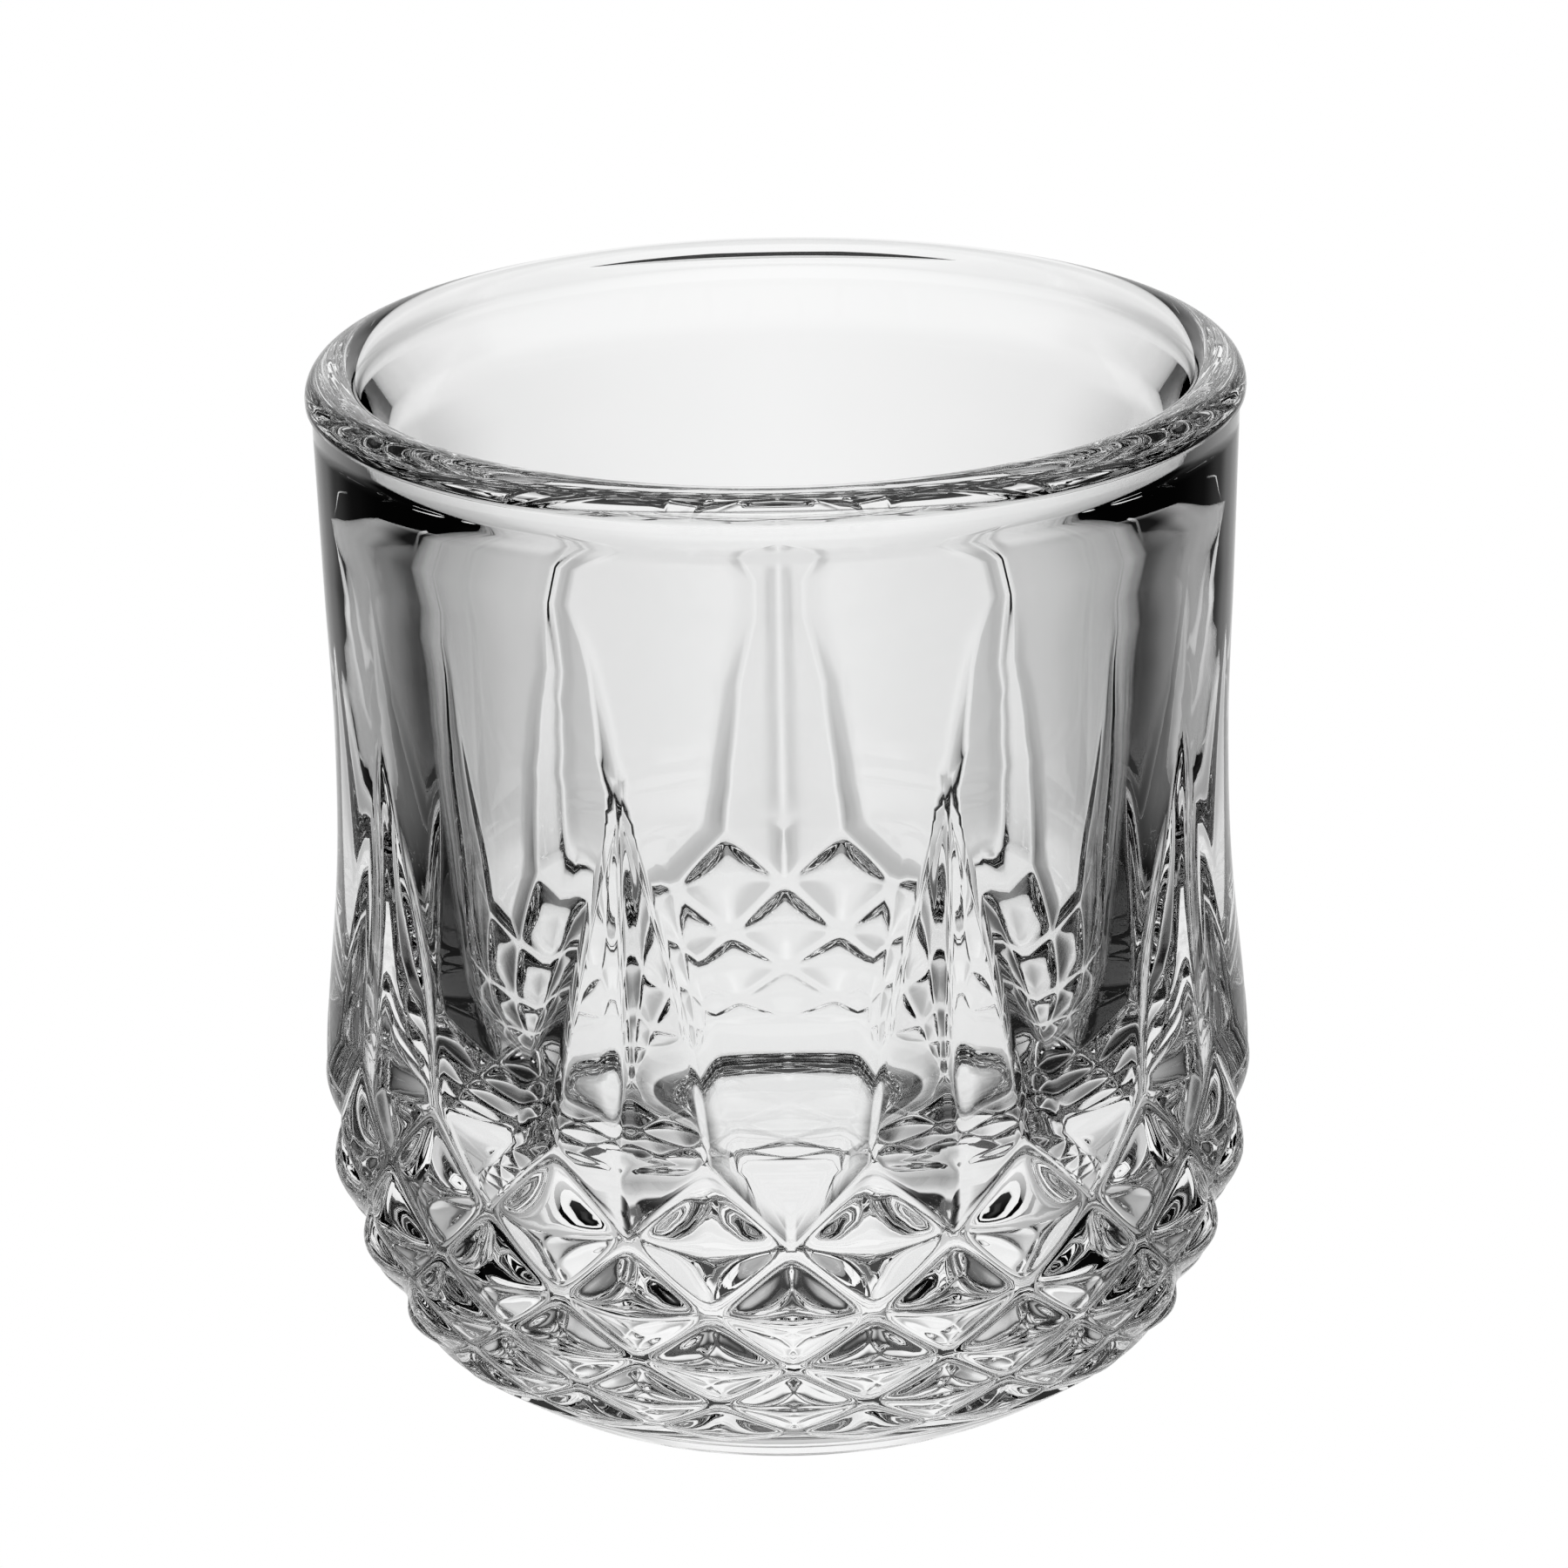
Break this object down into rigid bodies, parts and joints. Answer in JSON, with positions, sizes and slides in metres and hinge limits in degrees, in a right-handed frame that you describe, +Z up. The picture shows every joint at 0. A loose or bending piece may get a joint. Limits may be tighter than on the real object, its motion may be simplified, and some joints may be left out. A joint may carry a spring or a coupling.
{
  "type": "whiskey tumbler",
  "caption": "Heavy-based clear pressed-glass tumbler with a rounded rim, a slim waist, smooth upper panels between pointed spears, and a faceted diamond base.",
  "frame": {"origin": "centre of the foot, on the plane the glass rests on", "axes": "+Z up along the axis of the glass; -Y through the middle of one smooth panel, towards the viewer"},
  "size_m": [0.0816, 0.0816, 0.09],
  "materials": {
    "clear_glass": "fire-polished clear pressed glass"
  },
  "bodies": {
    "root": {"tumbler_body": "clear_glass"}
  },
  "joints": []
}
